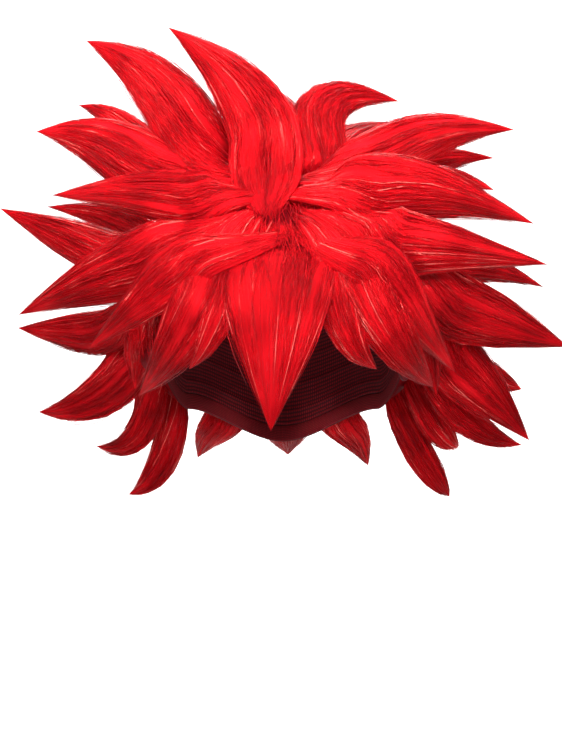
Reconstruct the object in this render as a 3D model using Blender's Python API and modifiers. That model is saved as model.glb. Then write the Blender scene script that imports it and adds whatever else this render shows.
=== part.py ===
"""A spiky costume wig, shaped as it sits on a head.

A hollow stretch cap with an elastic edge carries eleven rows of hair. A row is a backing
strip that lies on the cap, with its leaf-shaped locks fused to it. The wearer looks
towards -Y, and the origin is the inside of the cap's crown, where the head bears.
"""

import math
from collections import namedtuple

import bmesh
import bpy
from mathutils import Vector

# Head that the cap is made for, in metres
HEAD_BREADTH = 0.156
HEAD_LENGTH = 0.194
CROWN_HEIGHT = 0.095
NAPE_NARROWING = 0.35

# Cap and its elastic edge
CAP_WALL = 0.0018
BAND_HEIGHT = 0.010
SEAM_GAP = 0.0003

# Hair
SPREAD = 0.175
LOCK_WIDTH = 0.042
BACKING = 0.011
HAIR_GAP = 0.0004
STRIP_SPACING = 0.0014

# Facets
DOME_SEGMENTS = 32
DOME_RINGS = 8
LOCK_SIDES = 6
STRIP_CELL = math.radians(14)

# Where the cap ends: azimuth from the face, and polar angle down from the crown, in degrees
RimStation = namedtuple("RimStation", "azimuth polar")
RIM = (
    RimStation(0, 70),
    RimStation(40, 74),
    RimStation(68, 97),
    RimStation(95, 87),
    RimStation(128, 108),
    RimStation(180, 121),
)

# A lock's outline: how far along its spine, and its width there as a share of the widest
Leaf = namedtuple("Leaf", "along width")
LEAF = (
    Leaf(0.0, 0.66),
    Leaf(0.15, 0.87),
    Leaf(0.31, 1.0),
    Leaf(0.48, 0.94),
    Leaf(0.65, 0.73),
    Leaf(0.81, 0.43),
    Leaf(0.94, 0.15),
)

# A lock. root: azimuth and polar angle on the cap, in degrees. mid and tip: where the spine
# is halfway and where it ends, as shares of SPREAD. width: share of LOCK_WIDTH. flat: its
# thickness as a share of its width.
Lock = namedtuple("Lock", "root mid tip width flat")

# A row of hair. azimuths and reach: the backing strip's stretch round the head, in degrees,
# and down the cap, as shares from crown to rim. faces: the way the locks' flat sides look.
Row = namedtuple("Row", "name azimuths reach faces locks")

FRONT = Vector((0.0, -1.0, 0.0))
ABOVE = Vector((0.0, 0.2, 1.0))
OUTWARD = None  # straight off the head, at the lock's own middle

ROWS = (
    Row("crown_locks", None, (0.0, 0.27), FRONT, (
        Lock((-20, 16), (-0.10, -0.17, 0.33), (-0.40, -0.11, 0.62), 0.95, 0.75),
        Lock((100, 20), (0.14, 0.22, 0.37), (0.43, 0.34, 0.42), 0.80, 0.70),
        Lock((-70, 12), (-0.12, 0.06, 0.22), (-0.22, 0.14, 0.40), 0.80, 0.80),
        Lock((175, 20), (0.00, 0.30, 0.28), (0.03, 0.48, 0.50), 1.00, 0.75),
        Lock((140, 22), (0.22, 0.42, 0.22), (0.42, 0.64, 0.38), 0.95, 0.70),
        Lock((-125, 20), (-0.30, 0.34, 0.24), (-0.43, 0.62, 0.44), 0.95, 0.70),
    )),
    Row("fringe_locks", (-46, 46), (0.31, 0.98), OUTWARD, (
        Lock((0, 36), (-0.02, -0.61, -0.36), (-0.04, -0.64, -0.77), 1.40, 0.30),
        Lock((-36, 48), (-0.31, -0.50, -0.41), (-0.49, -0.27, -0.66), 0.90, 0.42),
        Lock((-26, 54), (-0.23, -0.55, -0.41), (-0.31, -0.47, -0.57), 0.55, 0.48),
        Lock((38, 48), (0.34, -0.49, -0.42), (0.51, -0.29, -0.63), 0.90, 0.42),
        Lock((26, 54), (0.20, -0.56, -0.43), (0.31, -0.48, -0.57), 0.55, 0.48),
    )),
    Row("right_upper_locks", (-138, -48), (0.31, 0.524), FRONT, (
        Lock((-60, 27), (-0.40, -0.03, 0.38), (-0.70, 0.06, 0.60), 0.90, 0.70),
        Lock((-100, 40), (-0.52, 0.20, 0.26), (-0.75, 0.29, 0.40), 0.50, 0.80),
        Lock((-70, 40), (-0.55, -0.05, 0.18), (-0.87, 0.00, 0.27), 0.95, 0.65),
        Lock((-50, 34), (-0.40, -0.26, 0.02), (-0.81, -0.06, 0.04), 0.75, 0.65),
        Lock((-122, 40), (-0.46, 0.42, 0.14), (-0.60, 0.62, 0.18), 0.85, 0.75),
    )),
    Row("left_upper_locks", (48, 138), (0.31, 0.524), FRONT, (
        Lock((55, 30), (0.43, -0.03, 0.22), (0.82, 0.03, 0.28), 0.82, 0.70),
        Lock((100, 42), (0.46, 0.17, 0.14), (0.77, 0.23, 0.20), 0.60, 0.75),
        Lock((50, 34), (0.40, -0.24, 0.05), (0.88, -0.06, -0.06), 0.95, 0.60),
        Lock((78, 44), (0.50, 0.04, 0.08), (0.755, 0.08, 0.07), 0.60, 0.75),
        Lock((122, 40), (0.46, 0.42, 0.12), (0.64, 0.60, 0.12), 0.85, 0.75),
    )),
    Row("back_upper_locks", (140, 220), (0.31, 0.524), ABOVE, (
        Lock((-170, 39), (-0.10, 0.60, 0.15), (-0.16, 0.86, 0.32), 0.92, 0.60),
        Lock((152, 40), (0.31, 0.53, 0.07), (0.52, 0.74, 0.15), 0.90, 0.60),
        Lock((171, 43), (0.13, 0.68, 0.01), (0.22, 0.94, 0.06), 0.92, 0.60),
        Lock((-151, 42), (-0.32, 0.56, 0.03), (-0.50, 0.77, 0.10), 0.90, 0.60),
    )),
    Row("right_side_locks", (-138, -48), (0.536, 0.754), FRONT, (
        Lock((-115, 60), (-0.56, 0.29, -0.05), (-0.87, 0.31, 0.03), 0.50, 0.80),
        Lock((-85, 60), (-0.69, 0.03, -0.135), (-1.00, 0.00, 0.00), 0.65, 0.75),
        Lock((-56, 54), (-0.54, -0.26, -0.23), (-0.92, -0.11, -0.38), 0.95, 0.60),
        Lock((-52, 56), (-0.40, -0.45, -0.29), (-0.66, -0.29, -0.50), 0.70, 0.50),
        Lock((-128, 66), (-0.52, 0.46, -0.16), (-0.68, 0.64, -0.12), 0.85, 0.70),
    )),
    Row("left_side_locks", (48, 138), (0.536, 0.754), FRONT, (
        Lock((54, 52), (0.44, -0.35, -0.15), (0.91, -0.20, -0.21), 0.90, 0.60),
        Lock((98, 64), (0.62, 0.11, -0.19), (0.95, 0.23, -0.27), 0.60, 0.75),
        Lock((56, 60), (0.37, -0.44, -0.31), (0.59, -0.23, -0.58), 0.80, 0.50),
        Lock((74, 66), (0.67, -0.13, -0.38), (1.00, -0.06, -0.49), 0.92, 0.60),
        Lock((126, 66), (0.54, 0.44, -0.20), (0.72, 0.62, -0.22), 0.85, 0.70),
    )),
    Row("back_middle_locks", (140, 220), (0.536, 0.754), ABOVE, (
        Lock((150, 66), (0.43, 0.61, -0.22), (0.60, 0.80, -0.27), 0.85, 0.60),
        Lock((-172, 68), (-0.12, 0.78, -0.17), (-0.18, 0.99, -0.10), 0.90, 0.60),
        Lock((171, 70), (0.15, 0.79, -0.25), (0.23, 1.00, -0.32), 0.90, 0.60),
        Lock((-150, 68), (-0.43, 0.63, -0.22), (-0.58, 0.82, -0.18), 0.85, 0.60),
    )),
    Row("right_lower_locks", (-138, -48), (0.766, 0.98), FRONT, (
        Lock((-80, 80), (-0.70, 0.06, -0.44), (-0.95, 0.11, -0.42), 0.60, 0.75),
        Lock((-62, 84), (-0.48, -0.20, -0.50), (-0.51, -0.16, -0.64), 0.55, 0.55),
        Lock((-100, 82), (-0.64, 0.03, -0.66), (-0.87, 0.06, -0.72), 0.65, 0.75),
        Lock((-114, 92), (-0.53, 0.29, -0.81), (-0.69, 0.34, -0.85), 0.43, 0.80),
        Lock((-129, 102), (-0.45, 0.34, -0.92), (-0.57, 0.34, -1.03), 0.45, 0.80),
        Lock((-129, 86), (-0.52, 0.44, -0.48), (-0.66, 0.62, -0.48), 0.80, 0.70),
    )),
    Row("left_lower_locks", (48, 138), (0.766, 0.98), FRONT, (
        Lock((84, 80), (0.66, -0.03, -0.60), (0.87, 0.00, -0.82), 0.80, 0.65),
        Lock((62, 84), (0.48, -0.20, -0.50), (0.53, -0.16, -0.66), 0.55, 0.55),
        Lock((105, 82), (0.71, 0.20, -0.58), (0.87, 0.24, -0.64), 0.50, 0.80),
        Lock((100, 84), (0.65, 0.11, -0.74), (0.86, 0.14, -0.84), 0.50, 0.75),
        Lock((116, 94), (0.57, 0.29, -0.79), (0.65, 0.34, -0.85), 0.42, 0.80),
        Lock((130, 102), (0.53, 0.37, -0.92), (0.62, 0.40, -1.04), 0.42, 0.80),
        Lock((129, 86), (0.54, 0.46, -0.52), (0.70, 0.62, -0.54), 0.80, 0.70),
    )),
    Row("nape_locks", (140, 220), (0.766, 0.98), ABOVE, (
        Lock((-171, 95), (-0.12, 0.75, -0.51), (-0.16, 0.92, -0.50), 0.80, 0.60),
        Lock((152, 94), (0.41, 0.61, -0.53), (0.55, 0.77, -0.62), 0.75, 0.60),
        Lock((171, 96), (0.12, 0.74, -0.56), (0.17, 0.90, -0.66), 0.80, 0.60),
        Lock((-152, 96), (-0.42, 0.62, -0.54), (-0.54, 0.78, -0.57), 0.75, 0.60),
        Lock((162, 111), (0.25, 0.62, -0.80), (0.33, 0.71, -0.94), 0.70, 0.62),
        Lock((181, 112), (0.01, 0.67, -0.80), (0.02, 0.78, -0.90), 0.75, 0.62),
        Lock((-161, 110), (-0.25, 0.62, -0.79), (-0.33, 0.73, -0.91), 0.70, 0.62),
    )),
)

# The head stand-in that the hair is shaped on goes on below the rim to this polar angle
NECK_POLAR = math.radians(160)


def smooth(share):
    """Ease in and out between 0 and 1."""
    return share * share * (3 - 2 * share)


def rim_polar(azimuth):
    """Polar angle where the cap ends at an azimuth, in radians, the same on both sides."""
    around = math.degrees(abs(math.remainder(azimuth, math.tau)))
    for near, far in zip(RIM, RIM[1:]):
        if around <= far.azimuth:
            share = smooth((around - near.azimuth) / (far.azimuth - near.azimuth))
            return math.radians(near.polar + (far.polar - near.polar) * share)
    return math.radians(RIM[-1].polar)


def seam_polar(azimuth):
    """Polar angle where the cap meets its elastic edge, in radians."""
    return rim_polar(azimuth) - (BAND_HEIGHT + SEAM_GAP) / CROWN_HEIGHT


def on_head(azimuth, polar, lift):
    """Point of the head at two angles in radians, lifted straight off it by some metres."""
    upper = min(polar, math.pi / 2)
    below = polar - upper
    narrow = 1 - NAPE_NARROWING * below**2
    across = math.sin(upper) * narrow * math.sin(azimuth)
    ahead = -math.sin(upper) * narrow * math.cos(azimuth)
    half_breadth, half_length = HEAD_BREADTH / 2, HEAD_LENGTH / 2
    drop = CROWN_HEIGHT * (1 - math.cos(upper) + below)
    slope = math.cos(upper) - 2 * NAPE_NARROWING * below * narrow
    off = Vector((across / half_breadth, ahead / half_length, slope / CROWN_HEIGHT))
    return Vector((half_breadth * across, half_length * ahead, -drop)) + lift * off.normalized()


def add_object(name, mesh, collection):
    """New object that shows a mesh, in a collection."""
    made = bpy.data.objects.new(name, mesh)
    collection.objects.link(made)
    return made


def mesh_from(bm, name):
    """Mesh that takes over what was built in a bmesh: flat triangles, turned outwards."""
    bmesh.ops.recalc_face_normals(bm, faces=bm.faces)
    bmesh.ops.triangulate(bm, faces=bm.faces)
    mesh = bpy.data.meshes.new(name)
    bm.to_mesh(mesh)
    bm.free()
    return mesh


def dome_mesh(name, lift, polar_at, segments, rings):
    """Upper half of a UV sphere laid on the head, from the crown to polar_at(azimuth)."""
    bm = bmesh.new()
    bmesh.ops.create_uvsphere(bm, u_segments=segments, v_segments=2 * rings, radius=1)
    lower = [v for v in bm.verts if v.co.z < -0.01]
    bmesh.ops.delete(bm, geom=lower, context="VERTS")
    for vert in bm.verts:
        azimuth = math.atan2(vert.co.x, -vert.co.y)
        share = math.acos(min(1.0, vert.co.z)) / (math.pi / 2)
        vert.co = on_head(azimuth, share * polar_at(azimuth), lift)
    return mesh_from(bm, name)


def head_form(name, lift, collection):
    """Closed stand-in for the head: the facets of the cap and band, and a neck below."""
    ring = 1 / DOME_RINGS
    bm = bmesh.new()
    bmesh.ops.create_uvsphere(
        bm, u_segments=DOME_SEGMENTS, v_segments=2 * DOME_RINGS, radius=1
    )
    for vert in bm.verts:
        azimuth = math.atan2(vert.co.x, -vert.co.y)
        share = math.acos(max(-1.0, min(1.0, vert.co.z))) / (math.pi / 2)
        rim = rim_polar(azimuth)
        if share < 1.01:
            polar = share * seam_polar(azimuth)
        else:
            polar = rim + (share - 1 - ring) / (1 - ring) * (NECK_POLAR - rim)
        vert.co = on_head(azimuth, polar, lift)
        if share > 1.99:
            vert.co = Vector((0, 0, vert.co.z))
    return helper(name, mesh_from(bm, name), collection)


def add_wall(obj, thickness):
    """Solidify an open surface outwards."""
    wall = obj.modifiers.new("wall", "SOLIDIFY")
    wall.thickness = thickness
    wall.offset = 1.0
    wall.use_even_offset = True
    obj.modifiers.new("flat_faces", "TRIANGULATE")
    return obj


def helper(name, mesh, collection):
    """Object that only shapes others, and isn't part of the wig."""
    made = add_object(name, mesh, collection)
    made.hide_render = True
    made.display_type = "WIRE"
    return made


def cap(collection):
    """The stretch cap: a thin dome on the head, down to the elastic edge."""
    mesh = dome_mesh("cap", 0.0, seam_polar, DOME_SEGMENTS, DOME_RINGS)
    return add_wall(add_object("cap", mesh, collection), CAP_WALL)


def rim_band(collection):
    """The elastic edge: a thicker strip that carries on from the cap down to the rim."""
    bm = bmesh.new()
    bmesh.ops.create_cone(
        bm, segments=DOME_SEGMENTS, radius1=1, radius2=1, depth=1, cap_ends=False
    )
    for vert in bm.verts:
        azimuth = math.atan2(vert.co.x, -vert.co.y)
        up = (vert.co.z + 0.5) * BAND_HEIGHT / CROWN_HEIGHT
        vert.co = on_head(azimuth, rim_polar(azimuth) - up, 0.0)
    mesh = mesh_from(bm, "rim_band")
    return add_wall(add_object("rim_band", mesh, collection), CAP_WALL)


def strip(row, grow, collection):
    """A row's backing strip, as a wall that starts inside the cap's thickness.

    grow widens it all round, for a cutter that leaves a gap.
    """
    name = row.name + ("_strip_cutter" if grow else "_strip")
    lift = CAP_WALL / 2
    if row.azimuths is None:
        margin = (grow - STRIP_SPACING / 2) / CROWN_HEIGHT
        limit = row.reach[1]
        stop = lambda azimuth: limit * rim_polar(azimuth) + margin
        mesh = dome_mesh(name, lift, stop, DOME_SEGMENTS // 2, 2)
    else:
        mesh = strip_grid(row, grow - STRIP_SPACING / 2, lift, name)
    wall = BACKING - lift + SEAM_GAP + grow
    return add_wall(helper(name, mesh, collection), wall)


def strip_grid(row, margin, lift, name):
    """Grid over a row's stretch of the head, widened on every side by margin."""
    start, stop = (math.radians(angle) for angle in row.azimuths)
    start -= margin / (HEAD_BREADTH / 2)
    stop += margin / (HEAD_BREADTH / 2)
    columns = max(2, round((stop - start) / STRIP_CELL))
    bm = bmesh.new()
    bmesh.ops.create_grid(bm, x_segments=columns, y_segments=2, size=0.5)
    for vert in bm.verts:
        azimuth = start + (stop - start) * (vert.co.x + 0.5)
        down = 0.5 - vert.co.y
        share = row.reach[0] + (row.reach[1] - row.reach[0]) * down
        polar = share * rim_polar(azimuth) + margin * (2 * down - 1) / CROWN_HEIGHT
        vert.co = on_head(azimuth, polar, lift)
    mesh = mesh_from(bm, name)
    middle = sum((v.co for v in mesh.vertices), Vector()) / len(mesh.vertices)
    face = mesh.polygons[len(mesh.polygons) // 2]
    if face.normal.dot(middle - Vector((0, 0, -CROWN_HEIGHT))) < 0:
        mesh.flip_normals()
    return mesh


def spine(lock):
    """Point and direction along a lock: a parabola through its root, middle and tip."""
    azimuth, polar = (math.radians(angle) for angle in lock.root)
    root = on_head(azimuth, polar, CAP_WALL + BACKING / 2)
    middle = SPREAD * Vector(lock.mid)
    tip = SPREAD * Vector(lock.tip)
    pull = 2 * middle - (root + tip) / 2

    def at(along):
        back = 1 - along
        return root * back**2 + pull * (2 * along * back) + tip * along**2

    def heading(along):
        return ((pull - root) * (1 - along) + (tip - pull) * along).normalized()

    return at, heading


def lock_mesh(lock, faces, grow, name):
    """Loft of ellipses along a lock's spine, from its root to a point at the tip."""
    at, heading = spine(lock)
    middle = at(0.5) - Vector((0, 0, -CROWN_HEIGHT))
    look = middle.normalized() if faces is OUTWARD else faces
    level = heading(0.5).cross(look)
    bm = bmesh.new()
    rings = []
    for leaf in LEAF:
        ahead = heading(leaf.along)
        across = (level - ahead * level.dot(ahead)).normalized()
        out = across.cross(ahead)
        half = leaf.width * lock.width * LOCK_WIDTH / 2
        centre = at(leaf.along)
        ring = []
        for side in range(LOCK_SIDES):
            angle = math.tau * side / LOCK_SIDES
            wide = across * (math.cos(angle) * (half + grow))
            thick = out * (math.sin(angle) * (half * lock.flat + grow))
            ring.append(bm.verts.new(centre + wide + thick))
        rings.append(ring)
    for near, far in zip(rings, rings[1:]):
        for side in range(LOCK_SIDES):
            after = (side + 1) % LOCK_SIDES
            bm.faces.new((near[side], near[after], far[after], far[side]))
    tip = bm.verts.new(at(1.0) + heading(1.0) * grow)
    for side in range(LOCK_SIDES):
        bm.faces.new((rings[-1][side], rings[-1][(side + 1) % LOCK_SIDES], tip))
    bm.faces.new(reversed(rings[0]))
    return mesh_from(bm, name)


def row_collection(row, grow, parent):
    """A row's strip and locks as helpers, in a collection of their own."""
    suffix = "_cutters" if grow else "_pieces"
    made = bpy.data.collections.new(row.name + suffix)
    parent.children.link(made)
    for number, lock in enumerate(row.locks, 1):
        name = f"{row.name}_{number}{suffix}"
        helper(name, lock_mesh(lock, row.faces, grow, name), made)
    if grow:
        strip(row, grow, made)
    return made


def combine(obj, operation, collection):
    """Boolean with every object of a collection."""
    cut = obj.modifiers.new(operation.lower(), "BOOLEAN")
    cut.operation = operation
    cut.operand_type = "COLLECTION"
    cut.collection = collection
    cut.solver = "EXACT"


def hair_rows(collection, helpers):
    """Each row of hair: its strip and locks in one body, cut clear of the rows above it."""
    form = head_form("head_form", CAP_WALL + SEAM_GAP, helpers)
    done = []
    for row in ROWS:
        body = strip(row, 0.0, collection)
        body.name = row.name
        body.hide_render = False
        body.display_type = "TEXTURED"
        combine(body, "UNION", row_collection(row, 0.0, helpers))
        cutters = bpy.data.collections.new(row.name + "_before")
        helpers.children.link(cutters)
        cutters.objects.link(form)
        for above in done:
            for cutter in above.objects:
                cutters.objects.link(cutter)
        combine(body, "DIFFERENCE", cutters)
        done.append(row_collection(row, HAIR_GAP, helpers))
    return [bpy.data.objects[row.name] for row in ROWS]


def material(name, colour, roughness):
    """Plain finish for the nodes that share it."""
    made = bpy.data.materials.new(name)
    made.use_nodes = True
    shader = made.node_tree.nodes["Principled BSDF"]
    shader.inputs["Base Color"].default_value = (*colour, 1.0)
    shader.inputs["Roughness"].default_value = roughness
    shader.inputs["Metallic"].default_value = 0.0
    return made


def main():
    """Build the wig in a cleared scene."""
    for obj in list(bpy.data.objects):
        bpy.data.objects.remove(obj)
    wig = bpy.data.collections.new("spiky_wig")
    helpers = bpy.data.collections.new("helpers")
    bpy.context.scene.collection.children.link(wig)
    bpy.context.scene.collection.children.link(helpers)
    hair = material("red_fibre", (0.78, 0.012, 0.02), 0.45)
    net = material("cap_net", (0.22, 0.008, 0.012), 0.8)
    elastic = material("elastic", (0.3, 0.01, 0.015), 0.7)
    cap(wig).data.materials.append(net)
    rim_band(wig).data.materials.append(elastic)
    for row in hair_rows(wig, helpers):
        row.data.materials.append(hair)
        row.data.shade_smooth()


main()
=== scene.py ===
"""Dresses the spiky wig: smooth cap and elastic, combed locks, and their loose fibres."""

from __future__ import annotations

import logging
import math
from dataclasses import dataclass, field
from enum import Enum
from typing import Any

import bpy
import numpy as np
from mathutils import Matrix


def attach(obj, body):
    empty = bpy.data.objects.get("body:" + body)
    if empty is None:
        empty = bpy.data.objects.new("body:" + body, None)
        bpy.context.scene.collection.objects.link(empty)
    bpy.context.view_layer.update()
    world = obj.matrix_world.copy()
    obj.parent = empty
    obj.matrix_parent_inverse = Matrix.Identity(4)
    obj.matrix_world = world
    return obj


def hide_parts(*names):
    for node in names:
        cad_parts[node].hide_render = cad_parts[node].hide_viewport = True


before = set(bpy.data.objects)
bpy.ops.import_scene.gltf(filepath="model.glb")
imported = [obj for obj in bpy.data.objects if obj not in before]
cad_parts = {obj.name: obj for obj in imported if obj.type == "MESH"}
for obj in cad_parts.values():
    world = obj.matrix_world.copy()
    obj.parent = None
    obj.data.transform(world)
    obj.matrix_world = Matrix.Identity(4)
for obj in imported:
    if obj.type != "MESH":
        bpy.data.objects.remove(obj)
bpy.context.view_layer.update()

LOG = logging.getLogger("spiky_wig")
Array = np.ndarray

# Form that the cap is made for, in metres
HALF_BREADTH = 0.078
HALF_LENGTH = 0.097
CROWN_HEIGHT = 0.095
NAPE_NARROWING = 0.35
# Cap, band and hair, in metres
CAP_WALL = 0.0018
BAND_HEIGHT = 0.010
SEAM_GAP = 0.0003
BACKING = 0.011
SPREAD = 0.175
LOCK_WIDTH = 0.042

# Where the cap ends: azimuth from the front and polar angle from the crown, in degrees
RIM_AZIMUTH = np.array([0.0, 40.0, 68.0, 95.0, 128.0, 180.0])
RIM_POLAR = np.array([70.0, 74.0, 97.0, 87.0, 108.0, 121.0])

# A lock's outline: share of its length, and width there as a share of the widest
LEAF_ALONG = np.array([0.0, 0.15, 0.31, 0.48, 0.65, 0.81, 0.94, 1.0])
LEAF_WIDTH = np.array([0.66, 0.87, 1.0, 0.94, 0.73, 0.43, 0.15, 0.0])
# The same for the sheet of fibres that runs into a lock over the cap
FEED_ALONG = np.array([-1.0, -0.75, -0.45, -0.1, 0.31])
FEED_WIDTH = np.array([0.08, 0.4, 0.84, 1.06, 1.0])
# Where the feed's outline hands over to the leaf's, as a share of the lock
FEED_JOIN = 0.31

# A lock's path: where the bridge over the root starts and ends, the stations, half the
# stretch over which the section turns, and the rounding
BRIDGE_FROM = 0.45
FEED_STATIONS, BRIDGE_STATIONS, FREE_STATIONS = 36, 24, 54
TURN_HALF = 0.35
PATH_STATIONS, ROUNDING_PASSES = 150, 40

# Feeds, in metres: how far under the backing's height they lie, how much deeper they
# start, and half their thickness
FEED_UNDER = 0.001
FEED_SUNK = 0.004
FEED_HALF_THICKNESS = 0.0042

# The combed base: its lift at the rim and how far it stays under the backing's height,
# in metres, and its grids, columns by rows
BASE_FOOT = 0.0006
BASE_UNDER = 0.0014
PATCH_GRID, CROWN_GRID = (120, 26), (144, 22)
# How far a patch goes past its row: in radians sideways, in shares of the rim up and down
PATCH_PAD = 0.024
PATCH_TUCK, CROWN_TUCK = 0.01, 0.045
# Share of the way to the rim over which the base slopes down to the cap
BASE_SLOPE = 0.07
# Furrows in the base: how many round the form, and their depth in metres
FURROWS = ((34, 0.0006), (61, 0.0004), (97, 0.0003))
# Ridges on a lock: how many round its section, and their height as a share of its radius
RIDGES = ((3, 0.03), (7, 0.035), (13, 0.025), (23, 0.02))

# Millimetres of fibre track: for each radian round the form, and from crown to rim
ROUND_MM = 85
BASE_DOWN_MM, NET_DOWN_MM = 130, 120

# Scale at which the wave texture has about one band for each unit of its track
ONE_BAND = 0.318

# Fibres over a lock: how far they wander round it, in radians, and in and out, in shares
WANDER = 0.3
DEPTH_MEAN, DEPTH_SPREAD = 0.005, 0.035
# How far they stand off, in metres: some in wisps, all singly, a few some times as far
WISP_SHIFT, WISP_SHARE = 0.0015, 0.25
STRAY_SHIFT = 0.0006
LOOSE_SHARE, LOOSE_TIMES = 0.05, 3.0
# How far they lie off a lock's body, in metres
STRAND_OFF = 0.0002
# Fibres on the base, in metres: how far they sink, rise at the end, bow, and their length
STRAND_SUNK, STRAND_RISE, STRAND_BOW, BASE_STRAND = 0.0006, 0.007, 0.001, 0.05
# Radius of the fibres, in metres
LOCK_FIBRE, BASE_FIBRE = 0.00027, 0.00032
FIBRE_SIDES = 3

# Tones, 0 deep to 1 bright, with what a ridge and the way to the tip add to a lock's.
# The base's low tone is painted shade under and between the locks. A ridge adds painted
# light on its crest and painted shade in the furrows, and the way to the tip adds painted
# shade towards the root. A share of the single fibres take a high tone: painted glints.
BASE_SHADE_TONE, NET_TONE = 0.12, 0.5
BODY_TONE, RIDGE_SHADE_TONE, ROOT_SHADE_TONE, END_TONE = 0.47, 0.9, 0.06, 0.3
FIBRE_TONE, FIBRE_TONE_SPREAD = 0.52, 0.07
PAINTED_GLINT_SHARE, PAINTED_GLINT_TONE = 0.06, 0.84


class Facing(Enum):
    """The way a lock's flat side looks."""

    FRONT = (0.0, -1.0, 0.0)
    ABOVE = (0.0, 0.2, 1.0)
    OUTWARD = (0.0, 0.0, 0.0)


def linear(hex_colour: str) -> tuple[float, float, float, float]:
    """Turn an sRGB hex colour into linear RGBA.

    Args:
        hex_colour: Colour as #RRGGBB.

    Returns:
        Linear red, green, blue and an alpha of 1.
    """
    raw = [int(hex_colour[i : i + 2], 16) / 255 for i in (1, 3, 5)]
    rgb = [c / 12.92 if c <= 0.04045 else ((c + 0.055) / 1.055) ** 2.4 for c in raw]
    return (rgb[0], rgb[1], rgb[2], 1.0)


def add_node(tree: Any, kind: str, settings: dict[str, Any], links: dict[str, Any]) -> Any:
    """Add a shader node, set its values and join its inputs.

    Args:
        tree: Node tree that takes the node.
        kind: Blender's name for the node type.
        settings: Node properties, or input defaults where the name is an input.
        links: Input name or number to the output socket that feeds it.

    Returns:
        The new node.
    """
    node = tree.nodes.new(kind)
    for name, value in settings.items():
        if isinstance(name, str) and hasattr(node, name):
            setattr(node, name, value)
        else:
            node.inputs[name].default_value = value
    for name, socket in links.items():
        tree.links.new(socket, node.inputs[name])
    return node


def start_material(name: str, across_mm: float, along_mm: float) -> tuple[Any, Any, Any]:
    """Start a material whose pattern lies on the fibre track.

    Args:
        name: Name of the material.
        across_mm: Size of the pattern across the track, in millimetres.
        along_mm: Size of the pattern along the track, in millimetres.

    Returns:
        The material, its empty node tree and the socket of the scaled track.
    """
    made = bpy.data.materials.new(name)
    made.use_nodes = True
    tree = made.node_tree
    tree.nodes.clear()
    track = add_node(tree, "ShaderNodeUVMap", {"uv_map": "fibre_track"}, {})
    scale = (1 / across_mm, 1 / along_mm, 1.0)
    fine = add_node(
        tree, "ShaderNodeMapping", {"Scale": scale}, {"Vector": track.outputs["UV"]}
    )
    return made, tree, fine.outputs["Vector"]


def add_surface(
    tree: Any, colour: Any, height: Any, bump: dict[str, float], finish: dict[str, Any]
) -> None:
    """End a material: a bumped Principled shader and the output.

    Args:
        tree: Node tree of the material.
        colour: Socket of the base colour.
        height: Socket of the height that the bump follows.
        bump: The bump's strength, and its distance in metres.
        finish: Values of the shader's other inputs.
    """
    bumped = add_node(tree, "ShaderNodeBump", bump, {"Height": height})
    links = {"Base Color": colour, "Normal": bumped.outputs["Normal"]}
    shader = add_node(tree, "ShaderNodeBsdfPrincipled", finish, links)
    add_node(tree, "ShaderNodeOutputMaterial", {}, {"Surface": shader.outputs["BSDF"]})


def hermite(x: Array, xs: Array, ys: Array) -> Array:
    """Smooth curve through a table: each stretch is a cubic with the table's own slopes.

    Args:
        x: Where to read the curve.
        xs: The table's positions, rising.
        ys: The table's values.

    Returns:
        Values at x, held constant past the ends.
    """
    slopes = np.gradient(ys, xs)
    x = np.clip(x, xs[0], xs[-1])
    i = np.clip(np.searchsorted(xs, x, side="right") - 1, 0, len(xs) - 2)
    step = xs[i + 1] - xs[i]
    s = (x - xs[i]) / step
    a = (2 * s**3 - 3 * s**2 + 1) * ys[i] + (3 * s**2 - 2 * s**3) * ys[i + 1]
    b = (s**3 - 2 * s**2 + s) * slopes[i] + (s**3 - s**2) * slopes[i + 1]
    return a + step * b


def smooth(share: Array) -> Array:
    """Ease in and out: 3s squared less 2s cubed, on a share held to 0..1."""
    share = np.clip(share, 0.0, 1.0)
    return share * share * (3 - 2 * share)


def unit(vectors: Array) -> Array:
    """Vectors divided by their lengths, along the last axis."""
    return vectors / np.maximum(np.linalg.norm(vectors, axis=-1, keepdims=True), 1e-12)


def rim_polar(azimuth: Array) -> Array:
    """Polar angle where the cap ends: the rim table eased between its stations.

    Args:
        azimuth: Angle round the form from the front, in radians.

    Returns:
        Polar angle down from the crown, in radians.
    """
    around = np.abs(np.degrees(np.arctan2(np.sin(azimuth), np.cos(azimuth))))
    i = np.clip(np.searchsorted(RIM_AZIMUTH, around, side="right") - 1, 0, 4)
    share = smooth((around - RIM_AZIMUTH[i]) / (RIM_AZIMUTH[i + 1] - RIM_AZIMUTH[i]))
    return np.radians(RIM_POLAR[i] + (RIM_POLAR[i + 1] - RIM_POLAR[i]) * share)


def on_form(azimuth: Array, polar: Array, lift: Array | float) -> Array:
    """Points of the form: an ellipsoid to its widest level, then a narrowing skirt.

    Args:
        azimuth: Angle round the form from the front, in radians.
        polar: Angle down from the crown, in radians.
        lift: Height straight off the form, in metres.

    Returns:
        Points, with x, y and z along the last axis.
    """
    upper = np.minimum(polar, math.pi / 2)
    below = polar - upper
    narrow = 1 - NAPE_NARROWING * below**2
    across = np.sin(upper) * narrow * np.sin(azimuth)
    ahead = -np.sin(upper) * narrow * np.cos(azimuth)
    drop = CROWN_HEIGHT * (1 - np.cos(upper) + below)
    slope = np.cos(upper) - 2 * NAPE_NARROWING * below * narrow
    point = np.stack([HALF_BREADTH * across, HALF_LENGTH * ahead, -drop], -1)
    off = np.stack([across / HALF_BREADTH, ahead / HALF_LENGTH, slope / CROWN_HEIGHT], -1)
    return point + np.asarray(lift)[..., None] * unit(off)


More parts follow.
